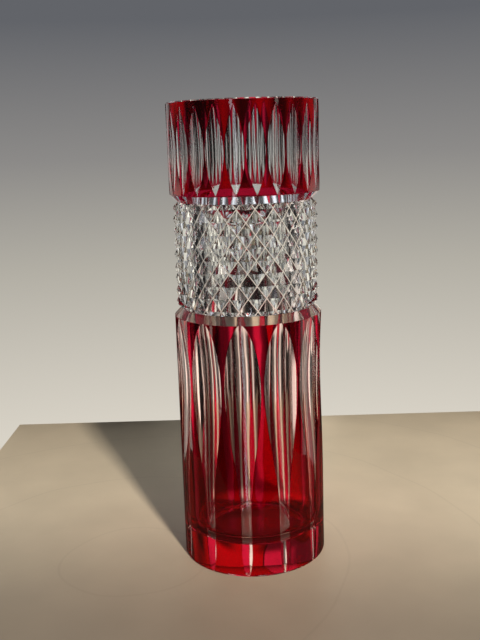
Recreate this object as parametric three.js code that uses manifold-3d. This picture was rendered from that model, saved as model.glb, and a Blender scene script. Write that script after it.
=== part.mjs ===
import * as THREE from "three";
import { mergeVertices } from "three/addons/utils/BufferGeometryUtils.js";
import Module from "manifold-3d";

// A straight-sided vase of clear lead crystal, cased in ruby glass on its collar and its body.
// Flutes are ground through the ruby to the clear crystal, and the bare neck between the two
// red parts carries a band of mitre-cut diamonds.
// Millimetres. The vase stands on z = 0, its axis is z, and one body flute faces -y.

const wasm = await Module();
wasm.setup();

// Blank
const height = 300;
const bodyRadius = 48;
const bodyHeight = 165.6;
const collarHeight = 56.5;
const shoulderDepth = 4.9;
const footBevel = 0.7;
const rimBevel = 0.8;
const lipBevel = 1;
const baseThickness = 15.9;
const boreFillet = 16;
const neckWall = 3.1;

// Ruby casing
const casingThickness = 0.6;
const bondGap = 0.2;

// Diamond band
const diamondCount = 24;
const diamondRelief = 3.6;
const grooveDepth = 3.4;
const diamondRowPitch = 7.75;
const diamondTurn = -1.1;

// Body flutes
const bodyFluteCount = 12;
const panelWaist = 2.3;
const bodyFluteCut = 3;
const bodyFluteWidestBelowTop = 40.6;
const bodyFluteTaper = 82;
const bodyFluteNarrow = 6.6;
const bodyFluteClosing = 20;
const bodyFluteOverrun = 0.9;
const bodyFluteArchPower = 0.65;
const bodyFluteFootPower = 0.6;

// Collar flutes
const collarFluteCount = 24;
const collarRidge = 0.5;
const collarFluteCut = 0.8;
const collarBand = 3.4;
const collarWidestBelowRim = 30;
const collarFluteOverrun = 0.3;
const collarFluteRisePower = 2;
const collarFluteDropPower = 2.4;

// The grinding wheel: where its section has points, as shares of a flute's half width, how
// fast a flute gets shallower as it narrows, and the half width it keeps at its tips
const wheelShares = [-1.35, -1, -0.4, 0.4, 1, 1.35];
const wheelShallowing = 1.5;
const wheelTip = 0.05;

// Fineness of the faceted surfaces
const turnSteps = 72;
const filletSteps = 4;
const bodyFluteRows = 12;
const collarFluteRows = 8;
const weldTolerance = 1e-4;

// Radii and heights that follow from the sizes above
const casingInside = bodyRadius - casingThickness;
const crystalRadius = casingInside - bondGap;
const sunken = bodyRadius - crystalRadius;
const neckRadius = bodyRadius - shoulderDepth;
const diamondRadius = neckRadius + diamondRelief;
const grooveRadius = diamondRadius - grooveDepth;
const boreRadius = Math.min(neckRadius, grooveRadius) - neckWall;
const collarBottom = height - collarHeight;
const bandBottom = bodyHeight + shoulderDepth;
const bandTop = collarBottom - shoulderDepth;

const crystalMaterial = new THREE.MeshStandardMaterial({
  color: 0xd9dcd8,
  roughness: 0.05,
  metalness: 0,
});
const rubyMaterial = new THREE.MeshStandardMaterial({
  color: 0x9b0018,
  roughness: 0.05,
  metalness: 0,
});

function toSolid(geometry) {
  const bare = geometry.clone();
  bare.deleteAttribute("normal");
  bare.deleteAttribute("uv");
  const merged = mergeVertices(bare, weldTolerance);
  const corners = merged.index.array;
  const kept = [];
  for (let i = 0; i < corners.length; i += 3) {
    const [a, b, c] = [corners[i], corners[i + 1], corners[i + 2]];
    if (a !== b && b !== c && c !== a) kept.push(a, b, c);
  }
  return new wasm.Manifold(
    new wasm.Mesh({
      numProp: 3,
      vertProperties: merged.attributes.position.array,
      triVerts: new Uint32Array(kept),
    }),
  );
}

function toGeometry(solid) {
  const { vertProperties, triVerts } = solid.getMesh();
  const geometry = new THREE.BufferGeometry();
  geometry.setAttribute("position", new THREE.BufferAttribute(vertProperties, 3));
  geometry.setIndex(new THREE.BufferAttribute(triVerts, 1));
  geometry.computeVertexNormals();
  return geometry;
}

// A closed outline of [radius, height] pairs turned about the z axis.
function turned(outline) {
  const points = outline.map(([radius, z]) => new THREE.Vector2(radius, z));
  const geometry = new THREE.LatheGeometry(points, turnSteps);
  geometry.rotateX(Math.PI / 2);
  return toSolid(geometry);
}

// A solid skinned over rings of points, each ring running anticlockwise seen from above,
// with the lowest ring first.
function lofted(rings) {
  const count = rings[0].length;
  const corners = [];
  rings.slice(1).forEach((_, row) => {
    for (let i = 0; i < count; i += 1) {
      const next = (i + 1) % count;
      const [low, lowNext] = [row * count + i, row * count + next];
      const [high, highNext] = [low + count, lowNext + count];
      corners.push(low, lowNext, highNext, low, highNext, high);
    }
  });
  const top = (rings.length - 1) * count;
  for (let i = 1; i < count - 1; i += 1) {
    corners.push(0, i + 1, i);
    corners.push(top, top + i, top + i + 1);
  }
  const geometry = new THREE.BufferGeometry().setFromPoints(rings.flat());
  geometry.setIndex(corners);
  return toSolid(geometry);
}

// The section of the grinding wheel at one height: a parabola that meets the casing's surface
// at plus and minus halfWidth and lies depth below it in the middle, closed well outside.
function fluteSection(halfWidth, depth, z) {
  const edge = bodyRadius * Math.cos(halfWidth / bodyRadius);
  const floor = bodyRadius - depth;
  const inner = wheelShares.map((share) => {
    const across = share * bodyRadius * Math.sin(halfWidth / bodyRadius);
    return new THREE.Vector3(across, -(floor + (edge - floor) * share * share), z);
  });
  const outside = -(bodyRadius + depth);
  const last = inner[inner.length - 1];
  const outer = [
    new THREE.Vector3(last.x, outside, z),
    new THREE.Vector3(-last.x, outside, z),
  ];
  return [...inner, ...outer].reverse();
}

// A flute's cutter between two heights, where width(z) is its half width on the surface.
function fluteCutter(low, high, rows, widest, cut, width) {
  const rings = [];
  for (let row = 0; row <= rows; row += 1) {
    const turn = (Math.PI * row) / rows;
    const z = low + ((high - low) * (1 - Math.cos(turn))) / 2;
    const halfWidth = Math.max(width(z), wheelTip);
    const depth = sunken + cut * Math.pow(halfWidth / widest, wheelShallowing);
    rings.push(fluteSection(halfWidth, depth, z));
  }
  return lofted(rings);
}

function around(cutter, count) {
  const copies = [];
  for (let i = 0; i < count; i += 1) {
    copies.push(cutter.rotate([0, 0, (360 / count) * i]));
  }
  return copies.reduce((all, one) => all.add(one));
}

// Body flute: a pointed arch at the shoulder, widest below it, a long taper and a closed foot.
function bodyFlute() {
  const widest = (Math.PI * bodyRadius) / bodyFluteCount - panelWaist / 2;
  const narrow = bodyFluteNarrow / 2;
  const widestAt = bodyHeight - bodyFluteWidestBelowTop;
  const high = bodyHeight + bodyFluteOverrun;
  const low = -bodyFluteOverrun;
  const width = (z) => {
    if (z >= widestAt) {
      const up = (z - widestAt) / (high - widestAt);
      return widest * Math.pow(Math.max(1 - up * up, 0), bodyFluteArchPower);
    }
    const down = Math.min((widestAt - z) / bodyFluteTaper, 1);
    const tapered = narrow + (widest - narrow) * 0.5 * (1 + Math.cos(Math.PI * down));
    const closing = Math.max((bodyFluteClosing - z) / (bodyFluteClosing - low), 0);
    return tapered * Math.pow(Math.max(1 - closing * closing, 0), bodyFluteFootPower);
  };
  return fluteCutter(low, high, bodyFluteRows, widest, bodyFluteCut, width);
}

// Collar flute: a lens, pointed at both ends.
function collarFlute() {
  const widest = (Math.PI * bodyRadius) / collarFluteCount - collarRidge / 2;
  const widestAt = height - collarWidestBelowRim;
  const high = height - collarBand;
  const low = collarBottom - collarFluteOverrun;
  const width = (z) => {
    if (z >= widestAt) {
      const up = (z - widestAt) / (high - widestAt);
      return widest * (1 - Math.pow(up, collarFluteRisePower));
    }
    const down = (widestAt - z) / (widestAt - low);
    return widest * (1 - Math.pow(down, collarFluteDropPower));
  };
  return fluteCutter(low, high, collarFluteRows, widest, collarFluteCut, width);
}

// Diamond band: rows of points on the mitre grooves alternate with the diamonds' tips, and
// the grooves run both ways round as the diagonals between them.
function diamondLattice() {
  const halfRows = Math.ceil((bandTop - bandBottom) / diamondRowPitch / 2) + 1;
  const middle = (bandBottom + bandTop) / 2;
  const steps = diamondCount * 2;
  const tip = (row, step) => Math.abs(row - halfRows + step) % 2 === 1;
  const vertices = [];
  const corners = [];
  const rows = halfRows * 2 + 1;
  for (let row = 0; row < rows; row += 1) {
    for (let step = 0; step < steps; step += 1) {
      const angle = (2 * Math.PI * step) / steps;
      const radius = tip(row, step) ? diamondRadius : grooveRadius;
      const z = middle + (row - halfRows) * diamondRowPitch;
      vertices.push(new THREE.Vector3(radius * Math.sin(angle), -radius * Math.cos(angle), z));
    }
  }
  for (let row = 0; row < rows - 1; row += 1) {
    for (let step = 0; step < steps; step += 1) {
      const next = (step + 1) % steps;
      const [low, lowNext] = [row * steps + step, row * steps + next];
      const [high, highNext] = [low + steps, lowNext + steps];
      if (tip(row, step)) corners.push(low, lowNext, high, lowNext, highNext, high);
      else corners.push(low, lowNext, highNext, low, highNext, high);
    }
  }
  const bottomCentre = vertices.push(new THREE.Vector3(0, 0, vertices[0].z)) - 1;
  const topRow = (rows - 1) * steps;
  const topCentre = vertices.push(new THREE.Vector3(0, 0, vertices[topRow].z)) - 1;
  for (let step = 0; step < steps; step += 1) {
    const next = (step + 1) % steps;
    corners.push(bottomCentre, next, step);
    corners.push(topCentre, topRow + step, topRow + next);
  }
  const geometry = new THREE.BufferGeometry().setFromPoints(vertices);
  geometry.setIndex(corners);
  geometry.rotateZ(THREE.MathUtils.degToRad(diamondTurn));
  return toSolid(geometry);
}

function boreFilletArc() {
  const points = [];
  for (let step = 1; step < filletSteps; step += 1) {
    const turn = (Math.PI / 2) * (step / filletSteps);
    points.push([
      boreRadius - boreFillet * (1 - Math.cos(turn)),
      baseThickness + boreFillet * (1 - Math.sin(turn)),
    ]);
  }
  return points;
}

function crystalBlank() {
  return turned([
    [0, 0],
    [crystalRadius - footBevel, 0],
    [crystalRadius, footBevel],
    [crystalRadius, bodyHeight + sunken],
    [neckRadius, bandBottom],
    [diamondRadius, bandBottom + diamondRelief],
    [diamondRadius, bandTop - diamondRelief],
    [neckRadius, bandTop],
    [crystalRadius, collarBottom - sunken],
    [crystalRadius, height - rimBevel],
    [crystalRadius - rimBevel, height],
    [boreRadius + lipBevel, height],
    [boreRadius, height - lipBevel],
    [boreRadius, baseThickness + boreFillet],
    ...boreFilletArc(),
    [boreRadius - boreFillet, baseThickness],
    [0, baseThickness],
  ]);
}

// The casing over one stretch of the wall, its ends following the 45 degree bevels.
function casing(low, lowSlope, high, highSlope) {
  return turned([
    [casingInside, low + lowSlope * casingThickness],
    [bodyRadius, low],
    [bodyRadius, high],
    [casingInside, high + highSlope * casingThickness],
    [casingInside, low + lowSlope * casingThickness],
  ]);
}

// What the mitre wheel takes off the neck.
function diamondWaste() {
  const ring = turned([
    [boreRadius, bandBottom],
    [bodyRadius, bandBottom],
    [bodyRadius, bandTop],
    [boreRadius, bandTop],
    [boreRadius, bandBottom],
  ]);
  return ring.subtract(diamondLattice());
}

// A wedge of the vase between the middles of two neighbouring body flutes.
function panelWedge() {
  const reach = bodyRadius * 2;
  const half = Math.PI / bodyFluteCount;
  const corner = new THREE.Vector2(reach * Math.sin(half), -reach * Math.cos(half));
  const shape = new THREE.Shape([
    new THREE.Vector2(0, 0),
    new THREE.Vector2(-corner.x, corner.y),
    corner,
  ]);
  const geometry = new THREE.ExtrudeGeometry(shape, { depth: height, bevelEnabled: false });
  geometry.rotateZ(half);
  return toSolid(geometry);
}

function crystalBody() {
  const solid = crystalBlank()
    .subtract(diamondWaste())
    .subtract(around(bodyFlute(), bodyFluteCount))
    .subtract(around(collarFlute(), collarFluteCount));
  const mesh = new THREE.Mesh(toGeometry(solid), crystalMaterial);
  mesh.name = "crystal_body";
  return mesh;
}

function rubyCollar() {
  const blank = casing(collarBottom, -1, height - rimBevel - sunken, 1);
  const solid = blank.subtract(around(collarFlute(), collarFluteCount));
  const mesh = new THREE.Mesh(toGeometry(solid), rubyMaterial);
  mesh.name = "ruby_collar";
  return mesh;
}

// The casing that is left between two body flutes.
function rubyPanelGeometry() {
  const flute = bodyFlute();
  const solid = casing(footBevel + sunken, -1, bodyHeight, 1)
    .intersect(panelWedge())
    .subtract(flute)
    .subtract(flute.rotate([0, 0, 360 / bodyFluteCount]));
  return toGeometry(solid);
}

function rubyPanels() {
  const geometry = rubyPanelGeometry();
  const panels = [];
  for (let i = 0; i < bodyFluteCount; i += 1) {
    const mesh = new THREE.Mesh(geometry, rubyMaterial);
    mesh.name = "ruby_panel_" + String(i + 1).padStart(2, "0");
    mesh.rotation.z = (2 * Math.PI * i) / bodyFluteCount;
    panels.push(mesh);
  }
  return panels;
}

const vase = new THREE.Group();
vase.add(crystalBody(), rubyCollar(), ...rubyPanels());

export default vase;
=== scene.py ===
from math import cos, pi, radians, sin

import bpy
import numpy as np
from mathutils import Matrix, Vector


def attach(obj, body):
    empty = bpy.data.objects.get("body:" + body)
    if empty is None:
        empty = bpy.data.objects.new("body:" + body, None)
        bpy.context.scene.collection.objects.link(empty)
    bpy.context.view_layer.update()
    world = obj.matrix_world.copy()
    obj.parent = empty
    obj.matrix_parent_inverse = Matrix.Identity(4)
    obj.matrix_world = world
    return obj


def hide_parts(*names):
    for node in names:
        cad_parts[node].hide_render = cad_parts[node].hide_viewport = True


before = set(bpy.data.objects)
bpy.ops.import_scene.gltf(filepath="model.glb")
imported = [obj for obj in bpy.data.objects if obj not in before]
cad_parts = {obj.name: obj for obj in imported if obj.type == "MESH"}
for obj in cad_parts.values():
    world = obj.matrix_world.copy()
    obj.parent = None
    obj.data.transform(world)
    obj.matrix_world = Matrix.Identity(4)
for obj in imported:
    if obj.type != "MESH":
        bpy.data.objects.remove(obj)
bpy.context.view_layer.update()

mm = 0.001


def srgb(code, strength=1.0):
    # "#rrggbb" as it looks on a screen -> linear colour
    parts = [int(code[i:i + 2], 16) / 255 for i in (1, 3, 5)]
    linear = [p / 12.92 if p <= 0.04045 else ((p + 0.055) / 1.055) ** 2.4 for p in parts]
    return [p * strength for p in linear] + [1.0]


def addNode(tree, kind, settings=None, **links):
    # Settings are properties of the node, its sockets by name or number, or a colour ramp's stops.
    # A link is named for the socket that it goes to, with _ for a space, or in0, in1... for the
    # socket's number. A Mix of colours has them at 6 and 7, and gives its result at output 2.
    node = tree.nodes.new(kind)
    for key, value in (settings or {}).items():
        if key == "stops":
            elements = node.color_ramp.elements
            elements[0].position, elements[0].color = value[0]
            elements[1].position, elements[1].color = value[-1]
            for position, colour in value[1:-1]:
                elements.new(position).color = colour
        elif isinstance(key, str) and hasattr(node, key):
            setattr(node, key, value)
        else:
            node.inputs[key].default_value = value
    for key, source in links.items():
        numbered = key.startswith("in") and key[2:].isdigit()
        tree.links.new(source, node.inputs[int(key[2:]) if numbered else key.replace("_", " ")])
    return node


softly = {"interpolation_type": "SMOOTHSTEP"}
noiseSpan = {"From Min": 0.3, "From Max": 0.7}   # a noise texture hardly leaves this range


def newMaterial(name):
    material = bpy.data.materials.new(name)
    material.use_nodes = True
    material.node_tree.nodes.clear()
    return material, material.node_tree


def smoothStep(x):
    x = np.clip(x, 0, 1)
    return x * x * (3 - 2 * x)


def onCylinder(theta, radius, z):
    # theta in degrees from -y, anticlockwise seen from above: (r sin t, -r cos t, z)
    t = np.radians(theta)
    return np.stack(np.broadcast_arrays(radius * np.sin(t), -radius * np.cos(t), z), axis=-1)


def gridFaces(rows, columns, closed, start=0):
    # quads of a grid of points that are numbered row by row; closed joins the last column to the
    # first
    acrossGrid = columns if closed else columns - 1
    row, column = np.meshgrid(np.arange(rows - 1), np.arange(acrossGrid), indexing="ij")
    nextColumn = (column + 1) % columns
    faces = np.stack([row * columns + column, row * columns + nextColumn,
                      (row + 1) * columns + nextColumn, (row + 1) * columns + column], axis=-1)
    return faces.reshape(-1, 4) + start


creaseAngle = 12   # degrees; an edge that bends more is drawn sharp


def buildMesh(name, points, faces, finishes, materials):
    # Points (n, 3) in mm, quads (m, 4), and the number of each quad's material. Points that meet
    # to a thousandth of a mm are welded, which closes seams and poles, and a quad whose corners
    # then coincide becomes a triangle or goes.
    _, first, welded = np.unique(np.round(points * 1000).astype(np.int64), axis=0,
                                 return_index=True, return_inverse=True)
    corners = welded.reshape(-1)[faces]
    keep = corners != np.roll(corners, -1, axis=1)
    counts = keep.sum(axis=1)
    good = counts > 2
    keep, corners, counts, finishes = keep[good], corners[good], counts[good], finishes[good]
    starts = np.concatenate([[0], np.cumsum(counts)[:-1]])
    mesh = bpy.data.meshes.new(name)
    mesh.vertices.add(len(first))
    mesh.vertices.foreach_set("co", (points[first] * mm).astype(np.float32).ravel())
    mesh.loops.add(int(counts.sum()))
    mesh.loops.foreach_set("vertex_index", corners[keep].astype(np.int32))
    mesh.polygons.add(len(counts))
    mesh.polygons.foreach_set("loop_start", starts.astype(np.int32))
    mesh.polygons.foreach_set("material_index", finishes.astype(np.int32))
    mesh.update(calc_edges=True)
    for material in materials:
        mesh.materials.append(material)
    mesh.shade_smooth()
    mesh.set_sharp_from_angle(angle=radians(creaseAngle))
    # an edge between two finishes is sharp as well
    edgeOf = np.empty(len(mesh.loops), np.int32)
    mesh.loops.foreach_get("edge_index", edgeOf)
    finishOf = np.repeat(finishes, counts)
    lowest, highest = np.full(len(mesh.edges), len(materials)), np.full(len(mesh.edges), -1)
    np.minimum.at(lowest, edgeOf, finishOf)
    np.maximum.at(highest, edgeOf, finishOf)
    sharp = np.zeros(len(mesh.edges), bool)
    mesh.attributes["sharp_edge"].data.foreach_get("value", sharp)
    mesh.attributes["sharp_edge"].data.foreach_set("value", sharp | (lowest != highest))
    piece = bpy.data.objects.new(name, mesh)
    bpy.context.scene.collection.objects.link(piece)
    return piece


shot = {
    "focal": 856.6, "tall": 640,   # in pixels of the 480 x 640 picture
    "sensor": 36.0,                # mm, for the picture's height
    "away": 553.9, "up": 277.0,    # mm from the vase's axis, and above the table
    "around": 6.0,                 # degrees round the vase
    "pan": 0.571, "down": 11.97, "roll": -1.86,
    "near": 0.01, "far": 50.0,     # metres that it sees between
}


def placeCamera():
    camera = bpy.data.objects.new("camera", bpy.data.cameras.new("camera"))
    camera.data.sensor_fit = "VERTICAL"
    camera.data.sensor_height = shot["sensor"]
    camera.data.lens = shot["focal"] * shot["sensor"] / shot["tall"]
    camera.data.clip_start, camera.data.clip_end = shot["near"], shot["far"]
    around, down, roll = radians(shot["around"]), radians(shot["down"]), radians(shot["roll"])
    forward = Vector((0, cos(down), -sin(down)))
    right, up = Vector((1, 0, 0)), Vector((0, sin(down), cos(down)))
    turn = Matrix.Rotation(radians(shot["around"] + shot["pan"]), 3, "Z")
    axes = Matrix((turn @ (cos(roll) * right + sin(roll) * up),
                   turn @ (cos(roll) * up - sin(roll) * right), turn @ -forward)).transposed()
    place = Vector((0, -shot["away"] * mm, shot["up"] * mm))
    place = Matrix.Rotation(around, 3, "Z") @ place
    camera.matrix_world = Matrix.Translation(place) @ axes.to_4x4()
    bpy.context.scene.collection.objects.link(camera)
    bpy.context.scene.camera = camera


placeCamera()
print("camera placed")

leadIor = 1.545   # lead crystal, 24% lead oxide

# How far each glass surface is from perfect. Its tint goes from clear to deeper, and its polish
# from one roughness to another, in patches of driftSize. Its waves have waveSize and waveDepth.
# The sizes are mm, and a stretch below 1 draws it all out along the vase.
cutFaces = {
    "clear": "#fafbfa", "deeper": "#f0f3f1", "driftSize": 40.0, "polish": (0.0, 0.03),
    "waveSize": 4.0, "waveDepth": 0.004, "stretch": 1.0,
}
fluteFaces = {
    "clear": "#fbe3dd", "deeper": "#f4d5ce", "driftSize": 30.0, "polish": (0.03, 0.11),
    "waveSize": 5.0, "waveDepth": 0.012, "stretch": 0.3,
}
boreFace = {
    "clear": "#fafbfa", "deeper": "#f3f5f4", "driftSize": 60.0, "polish": (0.05, 0.09),
    "waveSize": 14.0, "waveDepth": 0.3, "stretch": 0.35,
}
rubyFace = {
    "clear": "#d8203c", "deeper": "#c4142f", "driftSize": 35.0, "polish": (0.0, 0.03),
    "waveSize": 16.0, "waveDepth": 0.03, "stretch": 0.5,
}
fusion = {"patchSize": 18.0, "stretch": 0.3}
mitreFace = {
    "clear": "#fbf9f5", "deeper": "#e9e6e0", "gritSize": 0.5, "satin": (0.28, 0.45),
    "markDepth": 0.03, "markStrength": 0.3, "seeThrough": 0.6,
}


def glassSurface(name, look):
    # Clear glass whose tint, polish and flatness drift a little from place to place.
    material, tree = newMaterial(name)
    place = addNode(tree, "ShaderNodeMapping", {"Scale": (1, 1, look["stretch"])},
                    Vector=addNode(tree, "ShaderNodeTexCoord").outputs["Object"]).outputs[0]
    drift = addNode(tree, "ShaderNodeTexNoise",
                    {"Scale": 1 / (look["driftSize"] * mm), "Detail": 2.0}, Vector=place)
    tint = addNode(tree, "ShaderNodeMix", {"data_type": "RGBA", 6: srgb(look["clear"]),
                                           7: srgb(look["deeper"])}, in0=drift.outputs[0])
    best, worst = look["polish"]
    polish = addNode(tree, "ShaderNodeMapRange", {**noiseSpan, "To Min": best, "To Max": worst},
                     Value=drift.outputs[0])
    waves = addNode(tree, "ShaderNodeTexNoise",
                    {"Scale": 1 / (look["waveSize"] * mm), "Detail": 1.0}, Vector=place)
    ripple = addNode(tree, "ShaderNodeBump", {"Distance": look["waveDepth"] * mm},
                     Height=waves.outputs[0])
    shader = addNode(tree, "ShaderNodeBsdfPrincipled", {"IOR": leadIor, "Transmission Weight": 1.0},
                     Base_Color=tint.outputs[2], Roughness=polish.outputs[0],
                     Normal=ripple.outputs[0])
    addNode(tree, "ShaderNodeOutputMaterial", Surface=shader.outputs[0])
    return material


def fusedFace(name, thin, thick):
    # Where two layers of glass are fused there is no shine: light goes straight on. It takes the
    # colour of the casing here, a little paler where the casing came out thin, in patches drawn
    # out along the vase.
    material, tree = newMaterial(name)
    place = addNode(tree, "ShaderNodeMapping", {"Scale": (1, 1, fusion["stretch"])},
                    Vector=addNode(tree, "ShaderNodeTexCoord").outputs["Object"]).outputs[0]
    patches = addNode(tree, "ShaderNodeTexNoise",
                      {"Scale": 1 / (fusion["patchSize"] * mm), "Detail": 2.0}, Vector=place)
    tint = addNode(tree, "ShaderNodeMix", {"data_type": "RGBA", 6: srgb(thin), 7: srgb(thick)},
                   in0=patches.outputs[0])
    shader = addNode(tree, "ShaderNodeBsdfTransparent", Color=tint.outputs[2])
    addNode(tree, "ShaderNodeOutputMaterial", Surface=shader.outputs[0])
    return material


def groundLine(name):
    # The bottom of a mitre groove, ground by the wheel's rim and only dipped in acid after it: a
    # pale grey satin line. Its 0.1 mm grit marks are drawn 0.5 mm wide, or they wouldn't show.
    material, tree = newMaterial(name)
    look = mitreFace
    grit = addNode(tree, "ShaderNodeTexNoise",
                   {"Scale": 1 / (look["gritSize"] * mm), "Detail": 2.0},
                   Vector=addNode(tree, "ShaderNodeTexCoord").outputs["Object"])
    tint = addNode(tree, "ShaderNodeMix", {"data_type": "RGBA", 6: srgb(look["clear"]),
                                           7: srgb(look["deeper"])}, in0=grit.outputs[0])
    best, worst = look["satin"]
    satin = addNode(tree, "ShaderNodeMapRange", {**noiseSpan, "To Min": best, "To Max": worst},
                    Value=grit.outputs[0])
    marks = addNode(tree, "ShaderNodeBump", {"Strength": look["markStrength"],
                                             "Distance": look["markDepth"] * mm},
                    Height=grit.outputs[0])
    shader = addNode(tree, "ShaderNodeBsdfPrincipled",
                     {"IOR": leadIor, "Transmission Weight": look["seeThrough"]},
                     Base_Color=tint.outputs[2], Roughness=satin.outputs[0],
                     Normal=marks.outputs[0])
    addNode(tree, "ShaderNodeOutputMaterial", Surface=shader.outputs[0])
    return material


# Lead crystal cut on the wheel and acid polished: bright faces, faintly cool, that flash as they
# turn. The foot, the shoulders, the diamonds and the collar's short flutes have it.
cutCrystal = glassSurface("cut_lead_crystal", cutFaces)
# The same crystal in the hollow of the body's long flutes, felt polished along them: the glass is
# tinted a faint pink, the felt leaves a soft haze, and slow ripples along the cut bend what is
# seen through it.
flutedCrystal = glassSurface("felt_polished_flute", fluteFaces)
# The bore is as it was blown, never cut: soft waves that make straight lines behind it wander.
blownCrystal = glassSurface("blown_crystal_bore", boreFace)
# Gold ruby blown over the crystal, its outside turned true and polished: deep crimson by the
# light behind it.
rubySurface = glassSurface("polished_gold_ruby", rubyFace)
# The two sides of the joint between crystal and ruby, the crystal's without colour of its own.
fusedClear = fusedFace("crystal_under_ruby", "#ffffff", "#fdf8f8")
fusedRuby = fusedFace("ruby_on_crystal", "#ee6296", "#e24a80")
mitreBottom = groundLine("ground_mitre_bottom")
print("glass mixed")

vaseForm = {   # mm
    "height": 300.0, "radius": 48.0,
    "bodyTop": 165.6, "collarBottom": 243.5,   # the edges of the ruby, where the shoulders start
    "neck": 43.1,                              # radius where both 45 degree shoulders end
    "casing": 0.15, "bond": 0.03,              # the ruby, and the gap to the crystal under it
    "bore": 40.0, "floor": 15.9, "fillet": 16.0,
    "footBevel": 0.6, "rimBevel": 0.65, "lip": 1.0,
    "footRing": 8.0, "floorRing": 10.0,        # rings in the flats: in from the edge, and radius
    "columns": 384,                            # what flutes and panels, or diamonds, add up to
    "shoulderRows": 8, "lipRows": 5, "boreRows": 12, "filletRows": 13,
    "lowestRow": 0.9,                          # height of the body's first row above the bevel
}
crystalRadius = vaseForm["radius"] - vaseForm["casing"] - vaseForm["bond"]
bandLow = vaseForm["bodyTop"] + vaseForm["radius"] - vaseForm["neck"]
bandHigh = vaseForm["collarBottom"] - (vaseForm["radius"] - vaseForm["neck"])

bodyFlutes = {
    "count": 12, "widest": 13.65, "narrow": 3.95,   # half widths in degrees
    "widestAt": 125.0, "top": 166.5, "topRound": 0.65,
    "taper": 82.0, "closeFrom": 20.0, "closeTo": -0.9, "closeRound": 0.6,
    "steep": 9.0, "steepen": 0.5,   # degrees that the edges are steeper than a flat cut's at the
                                    # widest place, and how that grows with the width
    "columns": 22, "panelColumns": 10,
    "rows": (10, 30, 26), "gather": 1.3,   # foot, taper and arch, gathered towards the top
}
collarFlutes = {
    "count": 24, "widest": 6.95, "widestAt": 270.0,
    "top": 296.6, "bottom": 243.8, "powerUp": 1.8, "powerDown": 2.1,
    "steep": 5.0, "steepen": 0.5,
    "columns": 12, "panelColumns": 4, "rows": 50,
}


def bodyHalfWidth(z):
    # Half the flute's width in degrees: a pointed arch above widestAt, a raised cosine down to
    # the narrow stem, and a rounded end at the foot.
    f = bodyFlutes
    rise = np.clip(1 - ((z - f["widestAt"]) / (f["top"] - f["widestAt"])) ** 2, 0, 1)
    arch = f["widest"] * rise ** f["topRound"]
    down = np.clip((f["widestAt"] - z) / f["taper"], 0, 1)
    stem = f["narrow"] + (f["widest"] - f["narrow"]) * 0.5 * (1 + np.cos(pi * down))
    closing = np.clip((f["closeFrom"] - z) / (f["closeFrom"] - f["closeTo"]), 0, 1)
    return np.where(z > f["widestAt"], arch, stem * (1 - closing ** 2) ** f["closeRound"])


def collarHalfWidth(z):
    # a lens with pointed ends: one power curve up to the tip and another down to it
    f = collarFlutes
    up = np.clip((z - f["widestAt"]) / (f["top"] - f["widestAt"]), 0, 1)
    down = np.clip((f["widestAt"] - z) / (f["widestAt"] - f["bottom"]), 0, 1)
    narrower = np.where(z > f["widestAt"], up ** f["powerUp"], down ** f["powerDown"])
    return f["widest"] * (1 - narrower)


def bodyRows(lowest):
    # heights from the foot to bodyTop, close together at both ends
    top, widestAt, closing = vaseForm["bodyTop"], bodyFlutes["widestAt"], bodyFlutes["closeFrom"]
    atFoot, inTaper, inArch = bodyFlutes["rows"]
    towardsTop = np.linspace(1, 0, inArch)[1:] ** bodyFlutes["gather"]
    return np.concatenate([np.geomspace(lowest, closing, atFoot),
                           np.linspace(closing, widestAt, inTaper)[1:],
                           top - (top - widestAt) * towardsTop])


def collarRows(low, high):
    # heights along a half turn of a cosine, so close together at both tips
    return low + (high - low) * 0.5 * (1 - np.cos(np.linspace(0, pi, collarFlutes["rows"])))


def fluteDepth(flutes, halfWidth):
    # How far under the blank each column is, at each row. The wheel's rim is round, so across a
    # flute the glass follows the near side of a circle through the flute's two edges. Between
    # the flutes the depth is 0.
    w = np.maximum(np.radians(halfWidth)[:, None], 1e-6)
    phi = np.linspace(-1, 1, flutes["columns"] + 1) * w
    slope = w + radians(flutes["steep"]) * (w / radians(flutes["widest"])) ** flutes["steepen"]
    wheel = crystalRadius * np.sin(w) / np.sin(slope)
    away = crystalRadius * np.cos(w) + np.sqrt(wheel ** 2 - (crystalRadius * np.sin(w)) ** 2)
    hollow = crystalRadius - away * np.cos(phi) + np.sqrt(wheel ** 2 - (away * np.sin(phi)) ** 2)
    beside = np.zeros((len(halfWidth), flutes["panelColumns"] - 1))
    one = np.concatenate([hollow, beside], axis=1)
    return np.tile(one, (1, flutes["count"]))


def fluteColumns(flutes, halfWidth):
    # the angle of every column at each row: evenly across each flute, then evenly across the
    # panel beside it
    sector = 360 / flutes["count"]
    w = halfWidth[:, None]
    across = np.linspace(-1, 1, flutes["columns"] + 1)
    beside = np.linspace(0, 1, flutes["panelColumns"] + 1)[1:-1]
    one = np.concatenate([across * w, w + beside * (sector - 2 * w)], axis=1)
    centres = sector * np.arange(flutes["count"])
    return (centres[None, :, None] + one[:, None, :]).reshape(len(halfWidth), -1)


def inFlute(flutes):
    # which columns of faces lie in a flute
    one = np.concatenate([np.ones(flutes["columns"], bool),
                          np.zeros(flutes["panelColumns"], bool)])
    return np.tile(one, flutes["count"])


diamonds = {
    "count": 24, "pitch": 7.75, "turn": -1.1,   # round the neck, mm up, and degrees
    "tip": 46.7, "groove": 43.35,               # radii in mm
    "flat": 0.055,                # half the groove's flat bottom, as a share of a facet
    "rowsUp": 5,                  # pitches above and below the middle
    "drift": (0.2, 0.18, 0.12),   # how far the cuts are off: degrees round, mm up, mm deep
    "steps": (0.2, 0.35, 0.5, 0.65, 0.8),   # columns across half a diamond, as shares of it
    "seed": 5,
}


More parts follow.
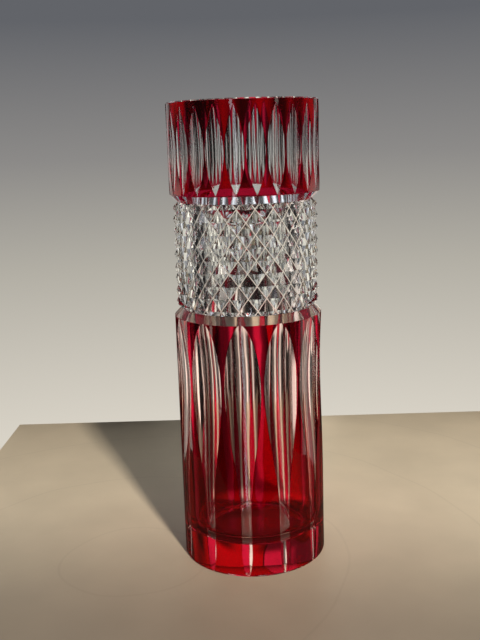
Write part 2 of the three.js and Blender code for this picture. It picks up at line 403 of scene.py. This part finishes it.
def diamondRows():
    # One half diamond in u (0 to 1) and v (in pitches): its height falls from the tips at
    # (0, odd) and (1, even) to the grooves between them. Each row of points is a line of three
    # knots, straight in space. A knot is u, v, its fall, and the side and row of the lattice
    # point that it belongs to.
    e, rows = diamonds["flat"], []
    for n in range(-diamonds["rowsUp"], diamonds["rowsUp"] + 1):
        if n % 2:   # this ridge has its tip at u = 0, the next at u = 1
            rows += [[(0, n, 0, 0, n), (1 - e, n, 1 - e, 1, n), (1, n, 1 - e, 1, n)],
                     [(0, n + 1 - e, 1 - e, 0, n + 1), (1 - e, n, 1 - e, 1, n),
                      (1, n, 1 - e, 1, n)],
                     [(0, n + 1, 1 - e, 0, n + 1), (e, n + 1, 1 - e, 0, n + 1),
                      (1, n + e, 1 - e, 1, n)]]
        else:
            rows += [[(0, n, 1 - e, 0, n), (e, n, 1 - e, 0, n), (1, n, 0, 1, n)],
                     [(0, n, 1 - e, 0, n), (e, n, 1 - e, 0, n),
                      (1, n + 1 - e, 1 - e, 1, n + 1)],
                     [(0, n + e, 1 - e, 0, n), (1 - e, n + 1, 1 - e, 1, n + 1),
                      (1, n + 1, 1 - e, 1, n + 1)]]
    return np.array(rows[:-2], float)


def diamondBand():
    # theta, radius and z (rows, columns) of the band, cut off by the shoulders at both ends
    d, e = diamonds, diamonds["flat"]
    knots = diamondRows()
    half = 180 / d["count"]
    halves = np.arange(2 * d["count"])
    # the cutter's hand: every point of the lattice is off by a little
    random = np.random.default_rng(d["seed"])
    drift = random.uniform(-1, 1, (2 * d["count"], 2 * d["rowsUp"] + 3, 3)) * d["drift"]
    # every other half diamond is the first one's mirror image
    mirrored = (halves % 2)[:, None, None]
    side, level = knots[..., 3].astype(int), knots[..., 4].astype(int) + d["rowsUp"]
    lattice = (halves[:, None, None] + np.where(mirrored, 1 - side, side)) % len(halves)
    moved = drift[lattice, level]
    u = np.where(mirrored, 1 - knots[..., 0], knots[..., 0])
    theta = d["turn"] + (halves[:, None, None] + u) * half + moved[..., 0]
    z = (bandLow + bandHigh) / 2 + knots[..., 1] * d["pitch"] + moved[..., 1]
    fall = knots[..., 2]
    radius = d["tip"] - (d["tip"] - d["groove"]) * fall + moved[..., 2] * (fall > 0)
    points = onCylinder(theta, radius, z)
    # straight lines between the knots
    bend = knots[None, :, 1, 0, None]
    steps = np.array([0, e, *d["steps"], 1 - e])
    across = np.where(mirrored, 1 - steps, steps)
    first = np.clip(across / bend, 0, 1)[..., None]
    second = np.clip((across - bend) / (1 - bend), 0, 1)[..., None]
    left, mid, right = points[..., 0, :], points[..., 1, :], points[..., 2, :]
    line = left[:, :, None] + first * (mid - left)[:, :, None]
    line = line + second * (right - mid)[:, :, None]
    line = line.transpose(1, 0, 2, 3).reshape(len(knots), -1, 3)
    radius, z = np.hypot(line[..., 0], line[..., 1]), line[..., 2]
    # the angles, counted on past 180 from the first column
    evenly = d["turn"] + (halves[:, None] + steps).ravel() * half
    angle = np.degrees(np.arctan2(line[..., 0], -line[..., 1]))
    theta = evenly + (angle - evenly + 180) % 360 - 180
    # what is outside a shoulder's cone slides along the grid's column onto the cone
    for atFoot in (True, False):
        outside = radius - vaseForm["neck"] - (z - bandLow if atFoot else bandHigh - z)
        if not atFoot:
            outside, radius, z, theta = outside[::-1], radius[::-1], z[::-1], theta[::-1]
        kept = np.argmax(outside <= 0, axis=0)
        at, before = np.arange(outside.shape[1]), kept - 1
        t = outside[before, at] / (outside[before, at] - outside[kept, at])
        gone = np.arange(len(z))[:, None] < kept[None, :]
        coneRadius = radius[before, at] + t * (radius[kept, at] - radius[before, at])
        coneZ = z[before, at] + t * (z[kept, at] - z[before, at])
        radius, z = np.where(gone, coneRadius, radius), np.where(gone, coneZ, z)
        if not atFoot:
            radius, z, theta = radius[::-1], z[::-1], theta[::-1]
    return theta, radius, z


def crystalVase():
    # One closed surface of rows round the axis, from the middle of the foot up the outside, over
    # the rim and down the bore to the middle of its floor. A row's finish belongs to the faces
    # between it and the next one up.
    f, columns = vaseForm, vaseForm["columns"]
    polished, underRuby, ground, fluted, blown = 0, 1, 2, 3, 4
    even = np.arange(columns) * 360 / columns
    upShoulder = np.linspace(0, 1, f["shoulderRows"] + 1)
    rows = []

    def addRow(theta, radius, z, finish=polished):
        place = [np.broadcast_to(part, columns) for part in (theta, radius, z)]
        rows.append(place + [finish * np.ones(columns, int)])

    # the foot, then the body with its flutes
    heights = np.concatenate([[0], bodyRows(f["lowestRow"])])
    heights[-1] += f["radius"] - crystalRadius
    theta = fluteColumns(bodyFlutes, bodyHalfWidth(heights))
    depth = fluteDepth(bodyFlutes, bodyHalfWidth(heights))
    finish = np.where(inFlute(bodyFlutes), fluted, underRuby)
    foot = crystalRadius - f["footBevel"]
    addRow(even, 0, 0)
    addRow(even, foot - f["footRing"], 0)
    addRow(theta[0], np.minimum(foot, crystalRadius - depth[0]), 0)
    addRow(theta[0], crystalRadius - depth[0], np.maximum(f["footBevel"] - depth[0], 0), finish)
    for i in range(1, len(heights) - 1):
        addRow(theta[i], crystalRadius - depth[i], heights[i], finish)
    addRow(theta[-1], crystalRadius - depth[-1], heights[-1] + depth[-1])
    # the lower shoulder, the diamonds and the upper shoulder
    bandTheta, bandRadius, bandZ = diamondBand()
    bodyTheta, bodyRadius, bodyZ = rows[-1][:3]
    for t in upShoulder[1:]:
        addRow(bodyTheta + smoothStep(t) * (bandTheta[0] - bodyTheta),
               bodyRadius + t * (f["neck"] - bodyRadius), bodyZ + t * (bandLow - bodyZ))
    for i in range(len(bandZ)):   # the middle one of each three strips is the grooves' flat bottom
        addRow(bandTheta[i], bandRadius[i], bandZ[i], ground if i % 3 == 1 else polished)
    rows[-1][3][:] = polished
    collarLow = f["collarBottom"] - (f["radius"] - crystalRadius)
    for t in upShoulder[:-1]:
        addRow(bandTheta[0] + smoothStep(t) * (even - bandTheta[0]),
               f["neck"] + t * (crystalRadius - f["neck"]), bandHigh + t * (collarLow - bandHigh))
    # the collar with its flutes
    heights = collarRows(collarFlutes["bottom"], collarFlutes["top"])
    theta = fluteColumns(collarFlutes, collarHalfWidth(heights))
    depth = fluteDepth(collarFlutes, collarHalfWidth(heights))
    finish = np.where(inFlute(collarFlutes), polished, underRuby)
    addRow(even, crystalRadius, collarLow, underRuby)
    for i in range(len(heights)):
        addRow(theta[i], crystalRadius - depth[i], heights[i], finish)
    rows[-1][3][:] = underRuby
    # the rim, the lip and the bore
    addRow(even, crystalRadius, f["height"] - f["rimBevel"])
    addRow(even, crystalRadius - f["rimBevel"], f["height"])
    for t in np.linspace(0, pi / 2, f["lipRows"]):
        addRow(even, f["bore"] + f["lip"] * (1 - sin(t)), f["height"] - f["lip"] * (1 - cos(t)),
               blown)
    straight = np.linspace(f["height"] - f["lip"], f["floor"] + f["fillet"], f["boreRows"])
    for z in straight[1:-1]:
        addRow(even, f["bore"], z, blown)
    for t in np.linspace(0, pi / 2, f["filletRows"]):
        addRow(even, f["bore"] - f["fillet"] * (1 - cos(t)),
               f["floor"] + f["fillet"] * (1 - sin(t)), blown)
    addRow(even, f["floorRing"], f["floor"], blown)
    addRow(even, 0, f["floor"], blown)
    points = onCylinder(*[np.array([row[i] for row in rows]) for i in range(3)])
    finishes = np.array([row[3] for row in rows[:-1]])
    piece = buildMesh("crystal_vase", points.reshape(-1, 3), gridFaces(len(rows), columns, True),
                      finishes.reshape(-1),
                      [cutCrystal, fusedClear, mitreBottom, flutedCrystal, blownCrystal])
    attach(piece, "root")
    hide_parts("crystal_body")
    print("crystal cut:", len(piece.data.polygons), "faces")


casing = {
    "edge": 0.35,     # degrees that the ruby's ground edge slopes back
    "across": 12,     # columns across a panel
    "barAcross": 8,   # columns across a bar of the collar
    "lowest": 1.1,    # mm where the ruby ends above the foot
    "tipGrow": 0.25, "tipDrop": 0.1,   # mm that the slope adds above and below a flute's tips
}


def rubySheet(left, right, z, leftIn, rightIn, zIn, across, start=0):
    # The outer and inner face of a thin piece of casing between two outlines, given in degrees
    # at each row. Returns points, faces, finishes, and the numbers of the outer points as a
    # grid; the inner points are numbered on from them.
    t = np.linspace(0, 1, across + 1)[None, :]
    outer = onCylinder(left[:, None] + t * (right - left)[:, None], vaseForm["radius"], z[:, None])
    inner = onCylinder(leftIn[:, None] + t * (rightIn - leftIn)[:, None],
                       vaseForm["radius"] - vaseForm["casing"], zIn[:, None])
    number = np.arange(len(z) * (across + 1)).reshape(len(z), across + 1) + start
    faces = [gridFaces(len(z), across + 1, False, start),
             gridFaces(len(z), across + 1, False, start + number.size)[:, ::-1]]
    finishes = np.repeat([0, 1], len(faces[0]))   # outside, and joined to the crystal
    return [outer.reshape(-1, 3), inner.reshape(-1, 3)], faces, finishes, number


def edgeFaces(path, deeper):
    # quads from a path of outer points to the inner points under it
    return np.stack([path[:-1], path[:-1] + deeper, path[1:] + deeper, path[1:]], axis=-1)


def rubyPanel(number):
    # one island of ruby between two body flutes
    sector, edge = 360 / bodyFlutes["count"], casing["edge"]
    z = bodyRows(casing["lowest"])
    zIn = z.copy()
    zIn[0] -= vaseForm["casing"]
    zIn[-1] += vaseForm["casing"]
    w = bodyHalfWidth(z)
    left, right = sector * number, sector * (number + 1)
    points, faces, finishes, index = rubySheet(left + w + edge, right - w - edge, z,
                                               left + w, right - w, zIn, casing["across"])
    around = np.concatenate([index[0], index[1:, -1], index[-1, -2::-1], index[-2::-1, 0]])
    sides = edgeFaces(around, index.size)
    name = "ruby_panel_%02d" % (number + 1)
    piece = buildMesh(name + "_glass", np.concatenate(points), np.concatenate(faces + [sides]),
                      np.concatenate([finishes, np.zeros(len(sides), int)]),
                      [rubySurface, fusedRuby])
    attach(piece, "root")
    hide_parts(name)


def rubyCollar():
    # 24 tapering bars that join each other above and below the flutes' tips
    f, sector = collarFlutes, 360 / collarFlutes["count"]
    top, bottom = vaseForm["height"] - vaseForm["rimBevel"], vaseForm["collarBottom"]
    rowsIn = collarRows(f["bottom"], f["top"])
    rowsOut = collarRows(f["bottom"] - casing["tipDrop"], f["top"] + casing["tipGrow"])
    zIn = np.concatenate([[bottom - vaseForm["casing"]], rowsIn, [top]])
    z = np.concatenate([[bottom], rowsOut, [top]])
    w = collarHalfWidth(zIn)
    w[[0, 1, -2, -1]] = 0
    wide = w.copy()
    wide[2:-2] += casing["edge"] * np.sin(pi * np.linspace(0, 1, f["rows"]))[1:-1] ** 0.5
    allPoints, allFaces, allFinishes, start = [], [], [], 0
    for bar in range(f["count"]):
        left, right = sector * bar, sector * (bar + 1)
        points, faces, finishes, index = rubySheet(left + wide, right - wide, z, left + w,
                                                   right - w, zIn, casing["barAcross"], start)
        # the bars touch beside their first and last strips, so the edge leaves those out
        paths = (index[0], index[1:-1, -1], index[-1, ::-1], index[-2:0:-1, 0])
        sides = np.concatenate([edgeFaces(path, index.size) for path in paths])
        allPoints += points
        allFaces += faces + [sides]
        allFinishes += [finishes, np.zeros(len(sides), int)]
        start += 2 * index.size
    piece = buildMesh("ruby_collar_glass", np.concatenate(allPoints), np.concatenate(allFaces),
                      np.concatenate(allFinishes), [rubySurface, fusedRuby])
    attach(piece, "root")
    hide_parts("ruby_collar")


crystalVase()
rubyCollar()
for number in range(bodyFlutes["count"]):
    rubyPanel(number)
print("ruby casing fitted")

# The studio stands square to the camera, so it is turned round the vase with it. Metres.
table = {"back": 0.274, "front": -0.15, "left": -0.235, "right": 0.235, "thick": 0.02,
         "gap": 0.0001}
wall = {"behind": 0.002, "wide": 1.6, "low": -0.4, "tall": 1.1, "tonesTo": 0.4,
        "glowLow": 2.1, "glowHigh": 1.8, "glowTo": 0.30}   # strengths low down and from glowTo up
turned = Matrix.Rotation(radians(shot["around"]), 4, "Z")

board = {   # places in metres, sizes in mm
    # painted shade: the second tone makes the board darker towards the front
    "lit": "#d5cab6", "shaded": "#837a6e", "litBack": 0.10, "shadeFront": -0.13,
    # painted light: the red that the ruby throws on the board round the foot
    "rubyLight": "#c98f82", "rubyLightFrom": 0.20, "rubyLightTo": 0.04, "rubyLightMost": 0.08,
    "cloudSize": 45.0, "cloudTones": (0.94, 1.04), "sheen": (0.38, 0.52),
    "ringScale": 3.2,                              # sets them 314 mm / 3.2 = 98 mm apart
    "ringsOff": (0.08, 0.03, 0), "ringsDarken": 0.06,
    "ringsFrom": 0.9985,                           # how near a wave's crest a ring begins
    "ringsWander": {"Distortion": 0.6, "Detail": 1.0, "Detail Scale": 3.0},
    "peelSize": 3.0, "peelDepth": 0.02, "peelStrength": 0.3,
    # painted shade for the board as the glass mirrors it
    "mirrored": "#4a443c",
    # painted light and shade on the board, seen only through the glass
    "stripAt": 0.012, "stripFrom": 0.02, "stripTo": 0.07, "stripLightAndShade": (1.5, 0.45),
    # painted light: a glow on the board, seen only through the glass
    "glow": 0.9, "glowRises": (0.046, 0.050), "glowFades": (0.052, 0.078),
    "glowAcross": (0.03, 0.06),
}


def stagePiece(name, points, faces, material):
    mesh = bpy.data.meshes.new(name)
    mesh.from_pydata(points, [], faces)
    mesh.transform(turned)
    mesh.materials.append(material)
    piece = bpy.data.objects.new(name, mesh)
    bpy.context.scene.collection.objects.link(piece)
    return piece


def creamLacquer():
    # A lacquered board, sprayed and rubbed down: cream, with painted shade that makes it darker to
    # the front where less light falls, and painted red light round the vase from the ruby. It has
    # cloudy patches, and rings 98 mm apart where things stood, drawn 2 mm wide to show.
    material, tree = newMaterial("cream_lacquer")
    b = board
    place = addNode(tree, "ShaderNodeTexCoord").outputs["Object"]
    spot = addNode(tree, "ShaderNodeSeparateXYZ", Vector=place)
    # painted shade: darker towards the front, where less light falls
    toFront = addNode(tree, "ShaderNodeMapRange",
                      {"From Min": b["litBack"], "From Max": b["shadeFront"], **softly},
                      Value=spot.outputs["Y"])
    tone = addNode(tree, "ShaderNodeMix", {"data_type": "RGBA", 6: srgb(b["lit"]),
                                           7: srgb(b["shaded"])}, in0=toFront.outputs[0])
    fromVase = addNode(tree, "ShaderNodeVectorMath", {"operation": "LENGTH"}, in0=place)
    # painted light: red from the ruby, strongest next to the foot
    nearVase = addNode(tree, "ShaderNodeMapRange",
                       {"From Min": b["rubyLightFrom"], "From Max": b["rubyLightTo"],
                        "To Max": b["rubyLightMost"], **softly}, Value=fromVase.outputs["Value"])
    withRubyLight = addNode(tree, "ShaderNodeMix", {"data_type": "RGBA", 7: srgb(b["rubyLight"])},
                      in0=nearVase.outputs[0], in6=tone.outputs[2])
    clouds = addNode(tree, "ShaderNodeTexNoise",
                     {"Scale": 1 / (b["cloudSize"] * mm), "Detail": 4.0}, Vector=place)
    darkest, lightest = b["cloudTones"]
    clouded = addNode(tree, "ShaderNodeMapRange",
                      {**noiseSpan, "To Min": darkest, "To Max": lightest},
                      Value=clouds.outputs[0])
    fromRings = addNode(tree, "ShaderNodeMapping", {"Location": b["ringsOff"]}, Vector=place)
    rings = addNode(tree, "ShaderNodeTexWave",
                    {"wave_type": "RINGS", "rings_direction": "Z", "Scale": b["ringScale"],
                     **b["ringsWander"]}, Vector=fromRings.outputs[0])
    scratch = addNode(tree, "ShaderNodeMapRange",
                      {"From Min": b["ringsFrom"], "From Max": 1.0, "To Max": b["ringsDarken"]},
                      Value=rings.outputs["Fac"])
    worn = addNode(tree, "ShaderNodeMath", {"operation": "SUBTRACT"}, in0=clouded.outputs[0],
                   in1=scratch.outputs[0])
    smoothest, roughest = b["sheen"]
    sheen = addNode(tree, "ShaderNodeMapRange", {"To Min": smoothest, "To Max": roughest},
                    Value=clouds.outputs[0])
    peel = addNode(tree, "ShaderNodeTexNoise", {"Scale": 1 / (b["peelSize"] * mm)},
                   Vector=place)   # the spray's orange peel
    uneven = addNode(tree, "ShaderNodeBump", {"Strength": b["peelStrength"],
                                              "Distance": b["peelDepth"] * mm},
                     Height=peel.outputs[0])
    # Painted light and shade: through the glass the board is brightened in the strip behind the
    # vase, as if the sun came through it there, and darkened beside it.
    path = addNode(tree, "ShaderNodeLightPath")
    offStrip = addNode(tree, "ShaderNodeMath", {"operation": "SUBTRACT", 1: b["stripAt"]},
                       in0=spot.outputs["X"])
    aside = addNode(tree, "ShaderNodeMath", {"operation": "ABSOLUTE"}, in0=offStrip.outputs[0])
    inStrip, besideIt = b["stripLightAndShade"]
    strip = addNode(tree, "ShaderNodeMapRange",
                    {"From Min": b["stripFrom"], "From Max": b["stripTo"], "To Min": inStrip,
                     "To Max": besideIt, **softly}, Value=aside.outputs[0])
    throughGlass = addNode(tree, "ShaderNodeMapRange", {"To Min": 1.0},
                           Value=path.outputs["Is Transmission Ray"], To_Max=strip.outputs[0])
    level = addNode(tree, "ShaderNodeMath", {"operation": "MULTIPLY"}, in0=worn.outputs[0],
                    in1=throughGlass.outputs[0])
    colour = addNode(tree, "ShaderNodeVectorMath", {"operation": "SCALE"},
                     in0=withRubyLight.outputs[2], Scale=level.outputs[0])
    # Painted light: seen through the glass, the board glows just behind the vase's foot for the
    # sunlight that the vase gathers there, where its base shows it.
    glow = path.outputs["Is Transmission Ray"]
    near, litFrom = b["glowRises"]
    rises = addNode(tree, "ShaderNodeMapRange",
                    {"From Min": near, "From Max": litFrom, "To Max": b["glow"]},
                    Value=spot.outputs["Y"])
    litTo, far = b["glowFades"]
    fades = addNode(tree, "ShaderNodeMapRange", {"From Min": far, "From Max": litTo, **softly},
                    Value=spot.outputs["Y"])
    litWithin, outer = b["glowAcross"]
    middle = addNode(tree, "ShaderNodeMapRange",
                     {"From Min": outer, "From Max": litWithin, **softly}, Value=aside.outputs[0])
    for part in (rises, fades, middle):
        glow = addNode(tree, "ShaderNodeMath", {"operation": "MULTIPLY"}, in0=glow,
                       in1=part.outputs[0]).outputs[0]
    lacquer = addNode(tree, "ShaderNodeBsdfPrincipled", Base_Color=colour.outputs[0],
                      Roughness=sheen.outputs[0], Normal=uneven.outputs[0],
                      Emission_Color=tone.outputs[2], Emission_Strength=glow)
    # Painted shade: mirrored in the glass the board is dark.
    mirrored = addNode(tree, "ShaderNodeMath", {"operation": "SUBTRACT", "use_clamp": True},
                       in0=path.outputs["Is Glossy Ray"], in1=path.outputs["Is Transmission Ray"])
    dark = addNode(tree, "ShaderNodeBsdfDiffuse", {"Color": srgb(b["mirrored"])})
    either = addNode(tree, "ShaderNodeMixShader", in0=mirrored.outputs[0],
                     in1=lacquer.outputs[0], in2=dark.outputs[0])
    addNode(tree, "ShaderNodeOutputMaterial", Surface=either.outputs[0])
    return material


def tableTop():
    t = table
    corners = [(t["left"], t["front"]), (t["right"], t["front"]), (t["right"], t["back"]),
               (t["left"], t["back"])]
    points = [(x, y, z) for z in (-t["thick"], -t["gap"]) for x, y in corners]
    sides = [(i, (i + 1) % 4, (i + 1) % 4 + 4, i + 4) for i in range(4)]
    stagePiece("table_top", points, [(3, 2, 1, 0), (4, 5, 6, 7), *sides], creamLacquer())


# The wall behind, with painted light: cream at the table's height, where the light is strongest,
# and grey higher up, where it falls off.
wallLightStops = [(0.0, srgb("#d8d2c6")), (0.4, srgb("#b2aea4")), (0.67, srgb("#8c8a88")),
                (1.0, srgb("#626469"))]

# It is lit unevenly, as by a window with things on its sill: bands of light and dark, one above
# the other, for the glass to bend. A band is (metres right, tone) pairs. Those above the lowest
# have the height where they start and how soft their edge is before them.
lowestBand = [(-0.8, 1.0), (-0.40, 1.0), (-0.34, 0.3), (-0.28, 0.003), (-0.14, 0.003),
              (-0.11, 0.10), (-0.06, 0.14), (-0.03, 0.22), (-0.005, 1.1), (0.02, 1.1),
              (0.038, 0.24), (0.065, 0.10), (0.10, 0.012), (0.34, 0.012), (0.385, 0.09),
              (0.47, 0.09), (0.53, 0.9), (0.8, 0.9)]
higherBands = [
    (0.082, 0.01, [(-0.8, 0.35), (-0.40, 0.35), (-0.34, 0.3), (-0.28, 0.003), (-0.14, 0.01),
                   (-0.11, 0.15), (-0.06, 0.14), (-0.045, 0.22), (-0.02, 1.1), (0.012, 1.0),
                   (0.035, 0.2), (0.065, 0.10), (0.10, 0.012), (0.175, 0.02), (0.195, 1.1),
                   (0.31, 1.1), (0.37, 0.25), (0.8, 0.25)]),
    (0.126, 0.009, [(-0.8, 0.9), (-0.26, 0.9), (-0.2, 0.2), (-0.11, 0.15), (-0.085, 1.1),
                    (0.0, 1.2), (0.08, 1.2), (0.13, 0.9), (0.16, 0.1), (0.22, 0.1),
                    (0.28, 0.9), (0.8, 0.9)]),
    (0.163, 0.015, [(-0.8, 0.9), (-0.26, 0.9), (-0.2, 0.3), (-0.1, 0.8), (-0.05, 0.6),
                    (0.0, 0.5), (0.05, 0.6), (0.1, 0.8), (0.2, 0.3), (0.28, 0.9), (0.8, 0.9)]),
    (0.213, 0.03, [(-0.8, 0.1), (-0.35, 0.15), (-0.28, 1.3), (-0.2, 1.3), (-0.17, 0.02),
                   (-0.1, 0.03), (-0.075, 0.1), (-0.055, 1.3), (-0.035, 0.08), (-0.015, 0.2),
                   (0.0, 1.6), (0.02, 0.12), (0.045, 0.12), (0.06, 1.3), (0.08, 0.03),
                   (0.17, 0.02), (0.19, 1.3), (0.27, 1.3), (0.33, 0.1), (0.8, 0.1)]),
    (0.325, 0.02, [(-0.8, 1.0), (-0.25, 1.0), (-0.2, 5.0), (-0.16, 0.3), (-0.1, 0.3),
                   (-0.08, 5.0), (-0.04, 0.4), (0.0, 0.3), (0.03, 6.0), (0.06, 6.0),
                   (0.08, 0.3), (0.14, 0.3), (0.17, 5.0), (0.22, 1.0), (0.8, 1.0)]),
]


# the wall's painted falloff of light, by height
def wallLightTones(tree, height, low, high):
    place = addNode(tree, "ShaderNodeMapRange", {"From Min": low, "From Max": high}, Value=height)
    return addNode(tree, "ShaderNodeValToRGB", {"stops": wallLightStops},
                   in0=place.outputs[0]).outputs[0]


def bandStops(tones):
    # (metres right, tone) pairs -> places along the wall, from 0 to 1, and greys
    half = wall["wide"] / 2
    return [((x + half) / wall["wide"], (tone, tone, tone, 1)) for x, tone in tones]


def litPlaster():
    # Painted plaster, smooth. It glows, so that the glass in front of it is lit from behind, as
    # in the photo.
    material, tree = newMaterial("lit_plaster")
    half = wall["wide"] / 2
    spot = addNode(tree, "ShaderNodeSeparateXYZ",
                   Vector=addNode(tree, "ShaderNodeTexCoord").outputs["Object"])
    along = addNode(tree, "ShaderNodeMapRange", {"From Min": -half, "From Max": half},
                    Value=spot.outputs["X"])
    light = addNode(tree, "ShaderNodeValToRGB", {"stops": bandStops(lowestBand)},
                    in0=along.outputs[0]).outputs[0]
    for height, soft, tones in higherBands:
        band = addNode(tree, "ShaderNodeValToRGB", {"stops": bandStops(tones)},
                       in0=along.outputs[0])
        above = addNode(tree, "ShaderNodeMapRange",
                        {"From Min": height, "From Max": height + soft, **softly},
                        Value=spot.outputs["Z"])
        light = addNode(tree, "ShaderNodeMix", {"data_type": "RGBA"}, in0=above.outputs[0],
                        in6=light, in7=band.outputs[0]).outputs[2]
    glow = addNode(tree, "ShaderNodeMapRange",
                   {"From Min": wall["glowTo"], "From Max": 0.0, "To Min": wall["glowHigh"],
                    "To Max": wall["glowLow"]}, Value=spot.outputs["Z"])
    colour = addNode(tree, "ShaderNodeMix", {"data_type": "RGBA", "blend_type": "MULTIPLY", 0: 1.0},
                     in6=wallLightTones(tree, spot.outputs["Z"], 0.0, wall["tonesTo"]), in7=light)
    shader = addNode(tree, "ShaderNodeEmission", Color=colour.outputs[2],
                     Strength=glow.outputs[0])
    addNode(tree, "ShaderNodeOutputMaterial", Surface=shader.outputs[0])
    return material


def litWall():
    half, y, low = wall["wide"] / 2, table["back"] + wall["behind"], wall["low"]
    high = low + wall["tall"]
    points = [(-half, y, low), (half, y, low), (half, y, high), (-half, y, high)]
    plaster = stagePiece("wall", points, [(0, 1, 2, 3)], litPlaster())
    # the world has its tones for the camera, so it never stands in a view's way
    plaster.visible_camera = False
    plaster.visible_shadow = False


tableTop()
litWall()

# The room in front, as the glass sees it: dim, darker towards its floor, with windows and lamps.
room = {
    "tones": [(0.3, (0.006, 0.006, 0.006, 1)), (0.62, (0.03, 0.03, 0.032, 1)),
              (0.8, (0.32, 0.31, 0.30, 1)), (1.0, (0.55, 0.53, 0.5, 1))],   # floor to ceiling
    # each light is degrees round from straight behind (to the left), degrees up, wide and tall
    # in degrees, colour and strength
    "lights": [
        (-76, -27, 30, 36, "#fff0e6", 1.0),    # window to the right, low
        (-128, 5, 5, 80, "#fff6ea", 1.8),      # narrow window in front, right
        (-159, 31, 5, 5, "#fff6ea", 7.0),      # the low sun
        (164, 5, 4, 80, "#eef3ff", 3.5),       # narrow window in front, left
        (120, -22, 4, 24, "#fff6ea", 2.0),     # lamp to the left, low
    ],
    "soft": 0.15,                              # share of its size that a light's edge fades over
    "matt": "#9a9893", "mattStrength": 0.35,   # what lights everything matt
    "tonesFrom": -0.32, "tonesTo": 0.13,       # sine of the angles up that the camera sees the
                                               # wall's tones between
}


def roomLight(tree, direction, under, around, up, wide, tall, colour, strength):
    # a soft-edged rectangle painted over the room
    turnedBack = addNode(tree, "ShaderNodeMapping",
                         {"Rotation": (0, 0, radians(-around - shot["around"]))}, Vector=direction)
    part = addNode(tree, "ShaderNodeSeparateXYZ", Vector=turnedBack.outputs[0])
    mask = addNode(tree, "ShaderNodeMath", {"operation": "GREATER_THAN", 1: 0.0},
                   in0=part.outputs["Y"])
    for axis, middle, size in (("X", 0, wide), ("Z", sin(radians(up)), tall)):
        offset = addNode(tree, "ShaderNodeMath", {"operation": "SUBTRACT", 1: middle},
                         in0=part.outputs[axis])
        distance = addNode(tree, "ShaderNodeMath", {"operation": "ABSOLUTE"},
                           in0=offset.outputs[0])
        reach = sin(radians(size / 2))
        inside = addNode(tree, "ShaderNodeMapRange",
                         {"From Min": reach * (1 + room["soft"]),
                          "From Max": reach * (1 - room["soft"])}, Value=distance.outputs[0])
        mask = addNode(tree, "ShaderNodeMath", {"operation": "MULTIPLY"}, in0=mask.outputs[0],
                       in1=inside.outputs[0])
    return addNode(tree, "ShaderNodeMix", {"data_type": "RGBA", 7: srgb(colour, strength)},
                   in0=mask.outputs[0], in6=under).outputs[2]


def studioWorld():
    # Glass and gloss see the room, matt surfaces an even grey, and the camera the wall's tones.
    world = bpy.data.worlds.new("studio")
    bpy.context.scene.world = world
    world.use_nodes = True
    tree = world.node_tree
    tree.nodes.clear()
    direction = addNode(tree, "ShaderNodeTexCoord").outputs["Generated"]
    upward = addNode(tree, "ShaderNodeSeparateXYZ", Vector=direction).outputs["Z"]
    height = addNode(tree, "ShaderNodeMapRange", {"From Min": -1.0, "From Max": 1.0}, Value=upward)
    inRoom = addNode(tree, "ShaderNodeValToRGB", {"stops": room["tones"]},
                     in0=height.outputs[0]).outputs[0]
    for light in room["lights"]:
        inRoom = roomLight(tree, direction, inRoom, *light)
    glassSees = addNode(tree, "ShaderNodeBackground", Color=inRoom)
    mattSees = addNode(tree, "ShaderNodeBackground",
                       {"Color": srgb(room["matt"]), "Strength": room["mattStrength"]})
    # the camera sees the wall's painted falloff of light
    behind = wallLightTones(tree, upward, room["tonesFrom"], room["tonesTo"])
    cameraSees = addNode(tree, "ShaderNodeBackground", Color=behind)
    path = addNode(tree, "ShaderNodeLightPath")
    unseen = addNode(tree, "ShaderNodeMixShader", in0=path.outputs["Is Diffuse Ray"],
                     in1=glassSees.outputs[0], in2=mattSees.outputs[0])
    seen = addNode(tree, "ShaderNodeMixShader", in0=path.outputs["Is Camera Ray"],
                   in1=unseen.outputs[0], in2=cameraSees.outputs[0])
    addNode(tree, "ShaderNodeOutputWorld", Surface=seen.outputs[0])


studioWorld()

# One lamp from the front right, where the low sun is, and a wide faint one above. The glass shows
# neither.
lamps = [
    {"name": "low_sun", "at": (0.46, -1.2, 0.9), "aim": (0, 0, 0.1), "size": 0.1, "watts": 30,
     "colour": "#fff1dd"},
    {"name": "fill_overhead", "at": (-0.2, -0.3, 1.5), "aim": (0, 0, 0), "size": 1.6,
     "watts": 0.4, "colour": "#ffffff"},
]
for lamp in lamps:
    light = bpy.data.lights.new(lamp["name"], "AREA")
    light.size, light.energy, light.color = lamp["size"], lamp["watts"], srgb(lamp["colour"])[:3]
    holder = bpy.data.objects.new(lamp["name"], light)
    holder.location = turned @ Vector(lamp["at"])
    towards = turned @ Vector(lamp["aim"]) - holder.location
    holder.rotation_euler = towards.to_track_quat("-Z", "Y").to_euler()
    holder.visible_glossy = holder.visible_transmission = False
    bpy.context.scene.collection.objects.link(holder)

scene = bpy.context.scene
scene.view_settings.view_transform = "Standard"
# Straight through the vase a ray crosses 4 glass faces and 4 fused ones, and many more where the
# base and the diamonds mirror it within the glass.
scene.cycles.max_bounces = scene.cycles.transmission_bounces = 32
scene.cycles.glossy_bounces = 16
scene.cycles.transparent_max_bounces = 96
scene.cycles.blur_glossy = 0.3
print("studio lit")
